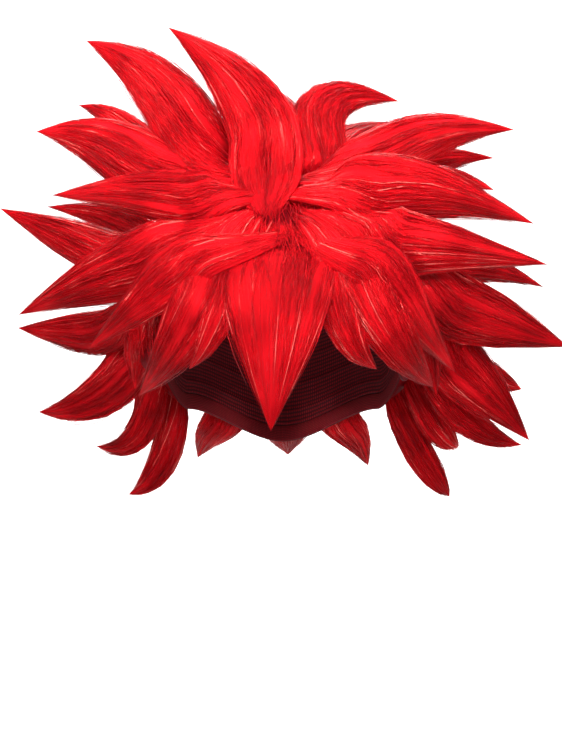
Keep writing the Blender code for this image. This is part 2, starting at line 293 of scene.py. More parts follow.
@dataclass
class Skin:
    """Points and triangles of one piece, gathered before it becomes a mesh."""

    points: list[Array] = field(default_factory=list)
    faces: list[Array] = field(default_factory=list)
    tones: list[Array] = field(default_factory=list)
    tracks: list[Array] = field(default_factory=list)
    slots: list[Array] = field(default_factory=list)
    count: int = 0

    def add(
        self, points: Array, faces: Array, tone: Array, track: Array, slot: int = 0
    ) -> None:
        """Add a surface.

        Args:
            points: Vertices, n by 3.
            faces: Triangles or quads that number those vertices.
            tone: Lightness of the fibre at each vertex, 0 to 1.
            track: Millimetres across and along the fibres at each vertex, n by 2.
            slot: Number of the object's material that it takes.
        """
        if faces.shape[1] == 4:
            faces = np.concatenate([faces[:, [0, 1, 2]], faces[:, [0, 2, 3]]])
        self.points.append(points)
        self.faces.append(faces + self.count)
        self.tones.append(tone)
        self.tracks.append(track)
        self.slots.append(np.full(len(faces), slot, dtype=np.int32))
        self.count += len(points)

    def to_object(self, name: str) -> Any:
        """Make the gathered surfaces one smooth-shaded object at the origin.

        Args:
            name: Name of the new object.

        Returns:
            The new object.
        """
        points = np.concatenate(self.points).astype(np.float32)
        faces = np.concatenate(self.faces).astype(np.int32)
        mesh = bpy.data.meshes.new(name)
        mesh.vertices.add(len(points))
        mesh.vertices.foreach_set("co", points.ravel())
        mesh.loops.add(faces.size)
        mesh.loops.foreach_set("vertex_index", faces.ravel())
        mesh.polygons.add(len(faces))
        mesh.polygons.foreach_set("loop_start", np.arange(0, faces.size, 3, dtype=np.int32))
        mesh.update(calc_edges=True)
        tone = mesh.attributes.new("tone", "FLOAT", "POINT")
        tone.data.foreach_set("value", np.concatenate(self.tones).astype(np.float32))
        layer = mesh.uv_layers.new(name="fibre_track")
        track = np.concatenate(self.tracks).astype(np.float32)[faces.ravel()]
        layer.data.foreach_set("uv", track.ravel())
        mesh.polygons.foreach_set("use_smooth", np.ones(len(faces), dtype=bool))
        mesh.polygons.foreach_set("material_index", np.concatenate(self.slots))
        mesh.validate()
        made = bpy.data.objects.new(name, mesh)
        bpy.context.scene.collection.objects.link(made)
        return made


def tube_faces(rings: int, sides: int) -> Array:
    """Number the triangles of a tube whose vertices run ring by ring.

    Args:
        rings: How many rings it has.
        sides: How many vertices are in a ring.

    Returns:
        Triangles, n by 3.
    """
    ring, side = np.meshgrid(np.arange(rings - 1), np.arange(sides), indexing="ij")
    after = (side + 1) % sides
    near, far = ring * sides, (ring + 1) * sides
    halves = (near + side, near + after, far + after), (near + side, far + after, far + side)
    return np.concatenate([np.stack(half, -1).reshape(-1, 3) for half in halves])


def add_wall(
    skin: Skin, outer: Array, inner: Array, track: tuple[Array, Array], tone: float,
    full: bool = True,
) -> None:
    """Join an outer and an inner grid into one closed wall and add it.

    Args:
        skin: Piece that takes the wall.
        outer: Outer points, columns by rows by 3.
        inner: Inner points of the same shape.
        track: Millimetres round the form, and down it, at each point.
        tone: Lightness of the wall, 0 to 1.
        full: Whether the columns run right round the form.
    """
    columns, rows = outer.shape[:2]
    loop = np.concatenate([outer, inner[:, ::-1]], axis=1)
    count = loop.shape[1]
    column, row = np.meshgrid(
        np.arange(columns if full else columns - 1), np.arange(count), indexing="ij"
    )
    after, below = (column + 1) % columns, (row + 1) % count
    quads = np.stack(
        [column * count + row, column * count + below,
         after * count + below, after * count + row], -1
    ).reshape(-1, 4)
    if not full:
        ring = np.arange(rows - 1)
        first = np.stack([ring, 2 * rows - 1 - ring, 2 * rows - 2 - ring, ring + 1], -1)
        last = (columns - 1) * count + first[:, ::-1]
        quads = np.concatenate([quads, first, last])
    both = [np.concatenate([side, side[:, ::-1]], 1) for side in track]
    tones = np.full(columns * count, tone)
    skin.add(loop.reshape(-1, 3), quads, tones, np.stack(both, -1).reshape(-1, 2))


@dataclass(frozen=True)
class Spine:
    """A lock's path as dense stations, from its feed on the cap (-1) to its tip (+1).

    Between stations every value is read by straight interpolation.
    """

    along: Array
    point: Array
    across: Array
    out: Array

    def at(self, along: Array) -> tuple[Array, Array, Array]:
        """Point, width direction and thickness direction.

        Args:
            along: Where to read them, -1 to 1.

        Returns:
            Three arrays of vectors.
        """
        read = [
            np.stack([np.interp(along, self.along, rows[:, k]) for k in range(3)], -1)
            for rows in (self.point, self.across, self.out)
        ]
        return read[0], unit(read[1]), unit(read[2])

    def length(self) -> float:
        """Length of the whole path, in metres."""
        return float(np.linalg.norm(np.diff(self.point, axis=0), axis=1).sum())


@dataclass(frozen=True)
class Lock:
    """One pointed lock of hair.

    Its spine is a parabola through the root on the cap, the middle and the tip. Its
    section is an ellipse whose width follows the leaf table. A feed, a flat sheet of the
    same fibres, lies on the cap and runs into the root: azimuth and polar angle of its
    start, the same of its middle, and its height over the base in millimetres.
    """

    root: tuple[float, float]
    mid: tuple[float, float, float]
    tip: tuple[float, float, float]
    width: float
    flat: float
    feed: tuple[float, float, float, float, float] | None = None

    def lying(self, s: Array) -> tuple[Array, Array]:
        """Path of the feed: a parabola on a map whose radius is the polar angle.

        Args:
            s: Where to read it, -1 at its start to 0 at the root.

        Returns:
            Points, and the form's outward directions there.
        """
        azimuth, polar = self.root
        # A lock without a feed of its own has one straight down to its root
        feed = self.feed or (
            azimuth, max(polar - 30.0, 6.0), azimuth, max(polar - 15.0, 10.0), 2.0
        )
        turns = np.radians([feed[0], feed[2], azimuth])
        radii = np.radians([feed[1], feed[3], polar])[:, None]
        start, middle, root = radii * np.stack([np.sin(turns), np.cos(turns)], -1)
        control = 2 * middle - (start + root) / 2
        back = -s[:, None]
        plan = root * (1 - back) ** 2 + control * (2 * back * (1 - back)) + start * back**2
        sunk = FEED_SUNK * (1 - smooth((s + 1) / 0.4))
        raised = smooth((s + 1) / 0.7)
        lift = CAP_WALL + BACKING - FEED_UNDER - sunk + feed[4] * 0.001 * raised
        turn, down = np.arctan2(plan[:, 0], plan[:, 1]), np.hypot(plan[:, 0], plan[:, 1])
        point = on_form(turn, down, lift)
        return point, unit(point - on_form(turn, down, lift - 0.01))

    def spine(self, facing: Facing) -> Spine:
        """Work out the path: feed and parabola joined by a bridge over the root.

        The bridge is a cubic that leaves along the feed and arrives along the parabola.
        The line is read at even steps of its length and rounded by a running mean of
        three stations, taken many times. The width direction turns from the feed's,
        which lies on the cap, to the lock's own.

        Args:
            facing: The way the flat side looks.

        Returns:
            The spine.
        """
        s = np.linspace(-1, -BRIDGE_FROM, FEED_STATIONS)
        lying, normal = self.lying(s)
        root = on_form(*np.radians(self.root), CAP_WALL + BACKING / 2)
        middle, tip = SPREAD * np.array(self.mid), SPREAD * np.array(self.tip)
        pull = 2 * middle - (root + tip) / 2
        t = np.linspace(BRIDGE_FROM, 1, FREE_STATIONS)[:, None]
        free = root * (1 - t) ** 2 + pull * (2 * t * (1 - t)) + tip * t**2
        gap = np.linalg.norm(free[0] - lying[-1])
        leave, arrive = gap * unit(lying[-1] - lying[-2]), gap * unit(free[1] - free[0])
        b = np.linspace(0, 1, BRIDGE_STATIONS + 2)[1:-1, None]
        bridge = (2 * b**3 - 3 * b**2 + 1) * lying[-1] + (b**3 - 2 * b**2 + b) * leave
        bridge += (3 * b**2 - 2 * b**3) * free[0] + (b**3 - b**2) * arrive
        rough = np.concatenate([lying, bridge, free])
        gone = np.linalg.norm(np.diff(rough, axis=0), axis=1)
        reach = np.concatenate([[0.0], np.cumsum(gone)])
        even = np.linspace(0, reach[-1], PATH_STATIONS)
        over_root = 2 * BRIDGE_FROM * b[:, 0] - BRIDGE_FROM
        marks = np.concatenate([s, over_root, t[:, 0]])
        along = np.interp(even, reach, marks)
        off = np.concatenate([normal, np.repeat(normal[-1:], len(b) + len(t), 0)])
        point, off = (
            np.stack([np.interp(even, reach, rows[:, k]) for k in range(3)], -1)
            for rows in (rough, off)
        )
        for _ in range(ROUNDING_PASSES):
            point[1:-1] = (point[:-2] + 2 * point[1:-1] + point[2:]) / 4
        ahead = unit(np.gradient(point, axis=0))
        look = np.array(facing.value)
        if facing is Facing.OUTWARD:
            look = unit(middle - np.array([0, 0, -CROWN_HEIGHT]))
        level = unit(np.cross(tip - root, look))
        flat = unit(np.cross(ahead, off))
        own = unit(level - ahead * (ahead @ level)[:, None])
        meet = int(np.searchsorted(along, 0.0))
        if flat[meet] @ own[meet] < 0:
            flat = -flat
        mix = smooth((along + TURN_HALF) / (2 * TURN_HALF))[:, None]
        across = flat * (1 - mix) + own * mix
        across = unit(across - ahead * (across * ahead).sum(-1, keepdims=True))
        return Spine(along, point, across, np.cross(across, ahead))

    def half_width(self, along: Array) -> Array:
        """Half the width: the leaf table, and on the feed a sheet that tapers in.

        Args:
            along: Where to read it, -1 to 1.

        Returns:
            Half the width at each place, in metres.
        """
        leaf = np.where(
            along < FEED_JOIN, hermite(along, FEED_ALONG, FEED_WIDTH),
            hermite(along, LEAF_ALONG, LEAF_WIDTH),
        )
        return np.maximum(leaf, 0.0) * self.width * LOCK_WIDTH / 2

    def half_thickness(self, along: Array) -> Array:
        """Half the thickness: a thin sheet on the feed, easing to a share of the width.

        Args:
            along: Where to read it, -1 to 1.

        Returns:
            Half the thickness at each place, in metres.
        """
        grown = smooth((along + 0.6) / 0.9)
        sheet = FEED_HALF_THICKNESS * (0.3 + 0.7 * smooth((along + 1) / 0.5))
        return sheet * (1 - grown) + self.half_width(along) * self.flat * grown


@dataclass(frozen=True)
class Strip:
    """The stretch of the cap that a row is sewn to: angles in degrees, shares of the rim."""

    azimuths: tuple[float, float]
    reach: tuple[float, float]


@dataclass
class HairRow:
    """A row of hair: a combed base on the cap, its locks, and loose fibres over them."""

    name: str
    strip: Strip
    facing: Facing
    locks: tuple[Lock, ...]
    seed: int
    body_sides: int = 64
    body_rings: int = 44
    strand_rings: int = 8
    strands_per_lock: int = 560
    wisps_per_lock: int = 7
    base_strands: int = 420

    def lay_base(self, skin: Skin, rng: np.random.Generator) -> None:
        """Add the combed base: a padded patch with furrows that run down the form.

        Its lift is the backing's height, rounded off above the rim, with furrows that are
        sums of sines across the patch.

        Args:
            skin: Piece that takes the surface.
            rng: Seeded source of the furrows' phases.
        """
        start, stop = np.radians(self.strip.azimuths)
        low, high = self.strip.reach
        full = stop - start > math.tau - 0.1
        columns, rows = CROWN_GRID if full else PATCH_GRID
        u = np.linspace(0, 1, columns, endpoint=not full)
        v = np.linspace(0, 1, rows)
        pad = 0.0 if full else PATCH_PAD
        azimuth = (start - pad + (stop - start + 2 * pad) * u)[:, None] + 0 * v
        at_rim = high > 0.9
        far = high + (CROWN_TUCK if full else 0.0 if at_rim else PATCH_TUCK)
        near = max(low - PATCH_TUCK, 0.0)
        share = (near + (far - near) * v)[None, :] + 0 * azimuth
        polar = np.maximum(share, 0.004) * rim_polar(azimuth)
        edge = smooth((1.0 - share) / BASE_SLOPE)
        furrows = np.zeros_like(azimuth)
        for count, depth in FURROWS:
            phase = rng.uniform(0, math.tau, 2)
            bend = 0.5 * np.sin(share * 9 + phase[1])
            furrows += depth * np.sin(azimuth * count + bend * 2 + phase[0])
        lift = CAP_WALL + BASE_FOOT + (BACKING - BASE_UNDER) * edge + furrows * edge
        outer = on_form(azimuth, polar, lift)
        inner = on_form(azimuth, polar, np.full_like(lift, CAP_WALL + SEAM_GAP))
        track = (azimuth * ROUND_MM, share * BASE_DOWN_MM)
        # The base takes a low tone: painted shade under and between the locks
        add_wall(skin, outer, inner, track, BASE_SHADE_TONE, full)

    def loft_lock(self, skin: Skin, lock: Lock, rng: np.random.Generator) -> None:
        """Add a lock's body: ellipses along the spine, ridged as if combed into wisps.

        The radius is multiplied by 1 + a sum of cosines round the section, whose phase
        drifts along the lock, so wisps run lengthwise and cross a little.

        Args:
            skin: Piece that takes the surface.
            lock: The lock to make.
            rng: Seeded source of the ridges' phases.
        """
        lying = self.body_rings // 3
        free = 1 - (1 - np.linspace(0, 1, self.body_rings - lying)) ** 1.25
        along = np.concatenate([np.linspace(-1, 0, lying, endpoint=False), free])
        angle = np.linspace(0, math.tau, self.body_sides, endpoint=False)
        spine = lock.spine(self.facing)
        point, across, out = spine.at(along)
        half = lock.half_width(along)[:, None]
        deep = lock.half_thickness(along)[:, None]
        ridge = np.zeros((self.body_rings, self.body_sides))
        for count, depth in RIDGES:
            phase, drift = rng.uniform(0, math.tau), rng.uniform(-1.6, 1.6)
            ridge += depth * np.cos(count * angle + phase + drift * along[:, None])
        fade = (smooth((1 - along) / 0.25) * smooth((along + 1) / 0.3))[:, None]
        grow = 1 + ridge * fade
        wide = across[:, None] * (half * np.cos(angle) * grow)[..., None]
        thick = out[:, None] * (deep * np.sin(angle) * grow)[..., None]
        points = (point[:, None] + wide + thick).reshape(-1, 3)
        base = len(points)
        points = np.concatenate([points, point[:1], point[-1:]])
        tube = tube_faces(self.body_rings - 1, self.body_sides)
        side = np.arange(self.body_sides)
        after = (side + 1) % self.body_sides
        last = (self.body_rings - 2) * self.body_sides
        root_fan = np.stack([side * 0 + base, after, side], -1)
        tip_fan = np.stack([last + side, last + after, side * 0 + base + 1], -1)
        faces = np.concatenate([tube, root_fan, tip_fan])
        tone = np.full(len(points), END_TONE)
        # Painted light on the ridges, painted shade in the furrows and towards the root
        tone[:base] = (BODY_TONE + RIDGE_SHADE_TONE * ridge + ROOT_SHADE_TONE * along[:, None]).ravel()
        folded = np.where(angle > math.pi, math.tau - angle, angle)
        half_mm = LOCK_WIDTH * 500
        track = np.zeros((len(points), 2))
        grid = np.stack(
            [(folded * lock.width * half_mm)[None, :] + 0 * half,
             ((along + 1) * spine.length() * 500)[:, None] + 0 * ridge], -1
        )
        track[:base] = grid.reshape(-1, 2)
        track[base + 1] = track[base - 1]
        skin.add(points, faces, np.clip(tone, 0, 1), track)

    def comb_strands(self, skin: Skin, lock: Lock, rng: np.random.Generator) -> None:
        """Add the fibres that lie over a lock, from the cap to near its tip.

        A fibre keeps its place in the section, a little inside or outside the ellipse,
        and drifts round it. Before the root it lies on the base, up towards the crown.

        Args:
            skin: Piece that takes the fibres.
            lock: The lock they follow.
            rng: Seeded source of their places.
        """
        number = int(self.strands_per_lock * (0.3 + 0.7 * lock.width))
        spine = lock.spine(self.facing)
        place = rng.uniform(0, math.tau, number)
        drift = rng.normal(0, WANDER, number)
        depth = 1 + rng.normal(DEPTH_MEAN, DEPTH_SPREAD, number)
        begin = rng.uniform(-1.0, 0.3, number)
        end = np.minimum(begin + rng.uniform(0.7, 1.8, number), rng.uniform(0.8, 1.0, number))
        step = np.linspace(0, 1, self.strand_rings)
        along = begin[:, None] + (end - begin)[:, None] * step
        point, across, out = spine.at(along)
        half = lock.half_width(along) + STRAND_OFF
        deep = lock.half_thickness(along) + STRAND_OFF
        angle = place[:, None] + drift[:, None] * along
        wisp = rng.integers(0, self.wisps_per_lock, number)
        shift = rng.normal(0, WISP_SHIFT, (self.wisps_per_lock, 2))[wisp] * lock.width
        shift *= (rng.random(number) < WISP_SHARE)[:, None]
        loose = np.where(rng.random(number) < LOOSE_SHARE, LOOSE_TIMES, 1.0)[:, None]
        shift += rng.normal(0, STRAY_SHIFT, (number, 2)) * loose
        apart = smooth(along * 1.1) * (1 - 0.7 * smooth((along - 0.6) / 0.4))
        stray = shift[:, :, None] * apart[:, None]
        wide = half * np.cos(angle) * depth[:, None] + stray[:, 0]
        thick = deep * np.sin(angle) * depth[:, None] + stray[:, 1]
        path = point + across * wide[..., None] + out * thick[..., None]
        self.spin(skin, path, rng, LOCK_FIBRE, spine.length())

    def comb_base(self, skin: Skin, rng: np.random.Generator) -> None:
        """Add the fibres that lie on the base, combed away from the crown.

        Args:
            skin: Piece that takes the fibres.
            rng: Seeded source of their places.
        """
        number = self.base_strands
        start, stop = np.radians(self.strip.azimuths)
        low, high = self.strip.reach
        azimuth = rng.uniform(start, stop, number)
        share = rng.uniform(low, high, number)
        run = rng.uniform(0.2, 0.5, number)
        polar = np.minimum(share * rim_polar(azimuth), rim_polar(azimuth) - 0.12 - 0.65 * run)
        step = np.linspace(0, 1, self.strand_rings)
        down = polar[:, None] + run[:, None] * (step - 0.35)
        swing = rng.normal(0, 0.1, number)[:, None] * step
        rise = rng.uniform(0.0, STRAND_RISE, number)[:, None] * step**2
        bow = STRAND_BOW * np.sin(step * math.pi)
        lift = CAP_WALL + BACKING - STRAND_SUNK + rise + bow
        path = on_form(azimuth[:, None] + swing, np.maximum(down, 0.02), lift)
        self.spin(skin, path, rng, BASE_FIBRE, BASE_STRAND)

    def spin(
        self, skin: Skin, path: Array, rng: np.random.Generator, radius: float, length: float
    ) -> None:
        """Add fibres along paths, each a three-sided spindle that tapers at both ends.

        A ring's corners are the path plus the radius times two directions across it.

        Args:
            skin: Piece that takes the fibres.
            path: Points, fibre by station by 3.
            rng: Seeded source of each fibre's tone and turn.
            radius: Radius of the thickest fibre, in metres.
            length: Length of the fibres for the track, in metres.
        """
        number, rings = path.shape[:2]
        heading = unit(np.gradient(path, axis=1))
        hint = unit(rng.normal(size=(number, 1, 3)))
        side = unit(np.cross(heading, hint + 0 * heading))
        other = np.cross(heading, side)
        step = np.linspace(0, 1, rings)
        taper = np.sin(math.pi * np.clip(step, 0.04, 0.96)) ** 0.5
        thick = radius * rng.uniform(0.7, 1.15, number)[:, None] * taper
        corners = [
            path + thick[..., None] * (math.cos(turn) * side + math.sin(turn) * other)
            for turn in math.tau / FIBRE_SIDES * np.arange(FIBRE_SIDES)
        ]
        ring = np.stack(corners, 2)[:, 1:-1].reshape(number, -1, 3)
        points = np.concatenate([ring, path[:, :1], path[:, -1:]], 1)
        each = points.shape[1]
        first, last = each - 2, each - 1
        tail = (rings - 3) * FIBRE_SIDES
        caps = np.array([[first, 1, 0], [first, 2, 1], [first, 0, 2],
                         [tail, tail + 1, last], [tail + 1, tail + 2, last],
                         [tail + 2, tail, last]])
        faces = np.concatenate([tube_faces(rings - 2, FIBRE_SIDES), caps])
        faces = (faces[None] + np.arange(number)[:, None, None] * each).reshape(-1, 3)
        tone = rng.normal(FIBRE_TONE, FIBRE_TONE_SPREAD, number)
        # A share of the fibres take a tone near the top colour: painted glints
        tone = np.where(rng.random(number) < PAINTED_GLINT_SHARE, PAINTED_GLINT_TONE, tone)
        tone = np.repeat(np.clip(tone, 0.05, 1.0), each)
        across = np.repeat(rng.uniform(0, 90, number), each)
        reach = np.concatenate([np.repeat(step[1:-1], FIBRE_SIDES), [0.0, 1.0]])
        reach = reach * length * 1000
        track = np.stack([across, np.tile(reach, number)], -1)
        skin.add(points.reshape(-1, 3), faces, tone, track, slot=1)

    def build(self) -> Any:
        """Make the row's object and set it in place of the CAD node of the same row.

        Returns:
            The new object.
        """
        rng = np.random.default_rng(self.seed)
        skin = Skin()
        self.lay_base(skin, rng)
        self.comb_base(skin, rng)
        for lock in self.locks:
            self.loft_lock(skin, lock, rng)
            self.comb_strands(skin, lock, rng)
        made = skin.to_object(self.name + "_hair")
        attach(made, "root")
        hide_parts(self.name)
        LOG.info("%s: %d triangles", made.name, len(made.data.polygons))
        return made


@dataclass(frozen=True)
class ModacrylicFibre:
    """Red modacrylic wig fibre, heat-set straight: combed into a lock, or single.

    Combed fibres show a soft sheen with fine streaks, some lighter and some
    darker than the rest. Single fibres are shinier and give narrow pinkish glints; a
    share of them also carry painted glints, a pinkish top colour in short dashes.
    """

    name: str
    roughness: float
    specular: float
    glint: str
    deep: str = "#58030A"
    body: str = "#AC0912"
    bright: str = "#CC121C"
    # Top colour of the tone ramp: on combed fibres the brightest streaks, on single fibres painted
    # glints
    top_and_painted_glint: str = "#D61C26"
    streak_mm: float = 0.7
    dash_mm: float = 50.0
    shade_patch_mm: float = 26.0

    def material(self) -> Any:
        """Build the material.

        Streaks are noise on the fibre track, stretched along the fibres. Broad patches
        of painted shade are noise in the object's own coordinates.

        Returns:
            The material.
        """
        made, tree, fine = start_material(self.name, self.streak_mm, self.dash_mm)
        tone = add_node(tree, "ShaderNodeAttribute", {"attribute_name": "tone"}, {})
        streaks = add_node(
            tree, "ShaderNodeTexNoise",
            {"Scale": 1.0, "Detail": 3.0, "Roughness": 0.65}, {"Vector": fine},
        )
        spread = add_node(
            tree, "ShaderNodeMapRange",
            {"From Min": 0.3, "From Max": 0.7, "To Min": -0.12, "To Max": 0.12},
            {"Value": streaks.outputs["Fac"]},
        )
        place = add_node(tree, "ShaderNodeTexCoord", {}, {})
        shade_patches = add_node(
            tree, "ShaderNodeTexNoise", {"Scale": 1 / (self.shade_patch_mm * 0.001), "Detail": 1.0},
            {"Vector": place.outputs["Object"]},
        )
        # Painted shade: broad patches darkened by noise
        shade = add_node(
            tree, "ShaderNodeMapRange",
            {"From Min": 0.38, "From Max": 0.62, "To Min": -0.18, "To Max": 0.07},
            {"Value": shade_patches.outputs["Fac"]},
        )
        shaded = add_node(
            tree, "ShaderNodeMath", {"operation": "ADD"},
            {0: tone.outputs["Fac"], 1: shade.outputs["Result"]},
        )
        total = add_node(
            tree, "ShaderNodeMath", {"operation": "ADD", "use_clamp": True},
            {0: shaded.outputs["Value"], 1: spread.outputs["Result"]},
        )
        ramp = add_node(tree, "ShaderNodeValToRGB", {}, {"Fac": total.outputs["Value"]})
        stops = ramp.color_ramp.elements
        stops[0].color, stops[1].color = linear(self.deep), linear(self.top_and_painted_glint)
        stops.new(0.45).color = linear(self.body)
        stops.new(0.74).color = linear(self.bright)
        add_surface(
            tree, ramp.outputs["Color"], streaks.outputs["Fac"],
            {"Strength": 0.35, "Distance": 0.0004},
            {"Roughness": self.roughness, "IOR": 1.5,
             "Specular IOR Level": self.specular, "Specular Tint": linear(self.glint)},
        )
        return made


@dataclass(frozen=True)
class KnitElastic:
    """Dyed knitted elastic and stretch net: matt, with ribs as wide as its rubber threads."""

    name: str
    dark: str
    light: str
    rib_mm: float

    def material(self) -> Any:
        """Build the material: ribs across and knit rows along the piece's own track.

        Returns:
            The material.
        """
        made, tree, fine = start_material(self.name, self.rib_mm, self.rib_mm)
        knit, rows = (
            add_node(
                tree, "ShaderNodeTexWave",
                {"Scale": ONE_BAND, "Distortion": bend, "Detail": 1.0,
                 "bands_direction": way},
                {"Vector": fine},
            )
            for way, bend in (("X", 1.2), ("Y", 1.0))
        )
        weave = add_node(
            tree, "ShaderNodeMath", {"operation": "MULTIPLY"},
            {0: knit.outputs["Fac"], 1: rows.outputs["Fac"]},
        )
        ramp = add_node(tree, "ShaderNodeValToRGB", {}, {"Fac": weave.outputs["Value"]})
        ramp.color_ramp.elements[0].color = linear(self.dark)
        ramp.color_ramp.elements[1].color = linear(self.light)
        add_surface(
            tree, ramp.outputs["Color"], weave.outputs["Value"],
            {"Strength": 0.5, "Distance": 0.0005},
            {"Roughness": 0.85, "Specular IOR Level": 0.2},
        )
        return made


@dataclass
class StretchCap:
    """The cap and its elastic edge, as smooth closed walls in place of the CAD's facets."""

    columns: int = 160
    dome_rows: int = 110
    wefts: int = 11
    weft_height: float = 0.0009
    band_rows: int = 12
    swelling: float = 0.0004
    gathers: int = 90
    gather_depth: float = 0.00025

    def dome(self) -> Any:
        """Make the cap's wall: a dome to the seam, with a low ridge inside at each weft.

        The inner lift is minus the ridge's height times a narrow bell at every weft.

        Returns:
            The new object.
        """
        azimuth = np.linspace(-math.pi, math.pi, self.columns, endpoint=False)[:, None]
        share = np.linspace(0.004, 1, self.dome_rows)[None, :] + 0 * azimuth
        azimuth = azimuth + 0 * share
        seam = rim_polar(azimuth) - (BAND_HEIGHT + SEAM_GAP) / CROWN_HEIGHT
        phase = np.abs((share * self.wefts) % 1 - 0.5) * 2
        ridge = self.weft_height * smooth((0.22 - phase) / 0.2)
        outer = on_form(azimuth, share * seam, CAP_WALL + 0 * share)
        inner = on_form(azimuth, share * seam, -ridge * (share > 0.08))
        skin = Skin()
        add_wall(skin, outer, inner, (azimuth * ROUND_MM, share * NET_DOWN_MM), NET_TONE)
        return skin.to_object("cap_net_wall")

    def band(self) -> Any:
        """Make the elastic edge: a strip from the seam down to the rim, swollen a little.

        Returns:
            The new object.
        """
        azimuth = np.linspace(-math.pi, math.pi, self.columns, endpoint=False)[:, None]
        up = np.linspace(BAND_HEIGHT, 0, self.band_rows)[None, :] + 0 * azimuth
        azimuth = azimuth + 0 * up
        polar = rim_polar(azimuth) - up / CROWN_HEIGHT
        swell = self.swelling * np.sin(np.linspace(0, math.pi, self.band_rows))[None, :]
        gather = self.gather_depth * np.sin(azimuth * self.gathers)
        outer = on_form(azimuth, polar, CAP_WALL - self.swelling + swell)
        inner = on_form(azimuth, polar, -swell - np.abs(gather) * (swell > 0))
        skin = Skin()
        add_wall(skin, outer, inner, (azimuth * ROUND_MM, up * 1000), NET_TONE)
        return skin.to_object("elastic_edge")

    def build(self) -> list[Any]:
        """Make both walls, set in place of their CAD nodes and dressed.

        Returns:
            The two objects.
        """
        made = [self.dome(), self.band()]
        finishes = (
            KnitElastic("stretch_net", "#30020A", "#8C0B16", 1.6),
            KnitElastic("knit_elastic", "#4A060C", "#A01220", 1.1),
        )
        for piece, node, slot, finish in zip(
            made, ("cap", "rim_band"), ("cap_net", "elastic"), finishes
        ):
            piece.data.materials.append(finish.material())
            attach(piece, "root")
            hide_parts(node)
            LOG.info("%s: %d triangles", piece.name, len(piece.data.polygons))
        return made


LEFT = (48.0, 138.0)
RIGHT = (-138.0, -48.0)
BACK = (140.0, 220.0)
UPPER, MIDDLE, LOWER = (0.31, 0.524), (0.536, 0.754), (0.766, 0.98)

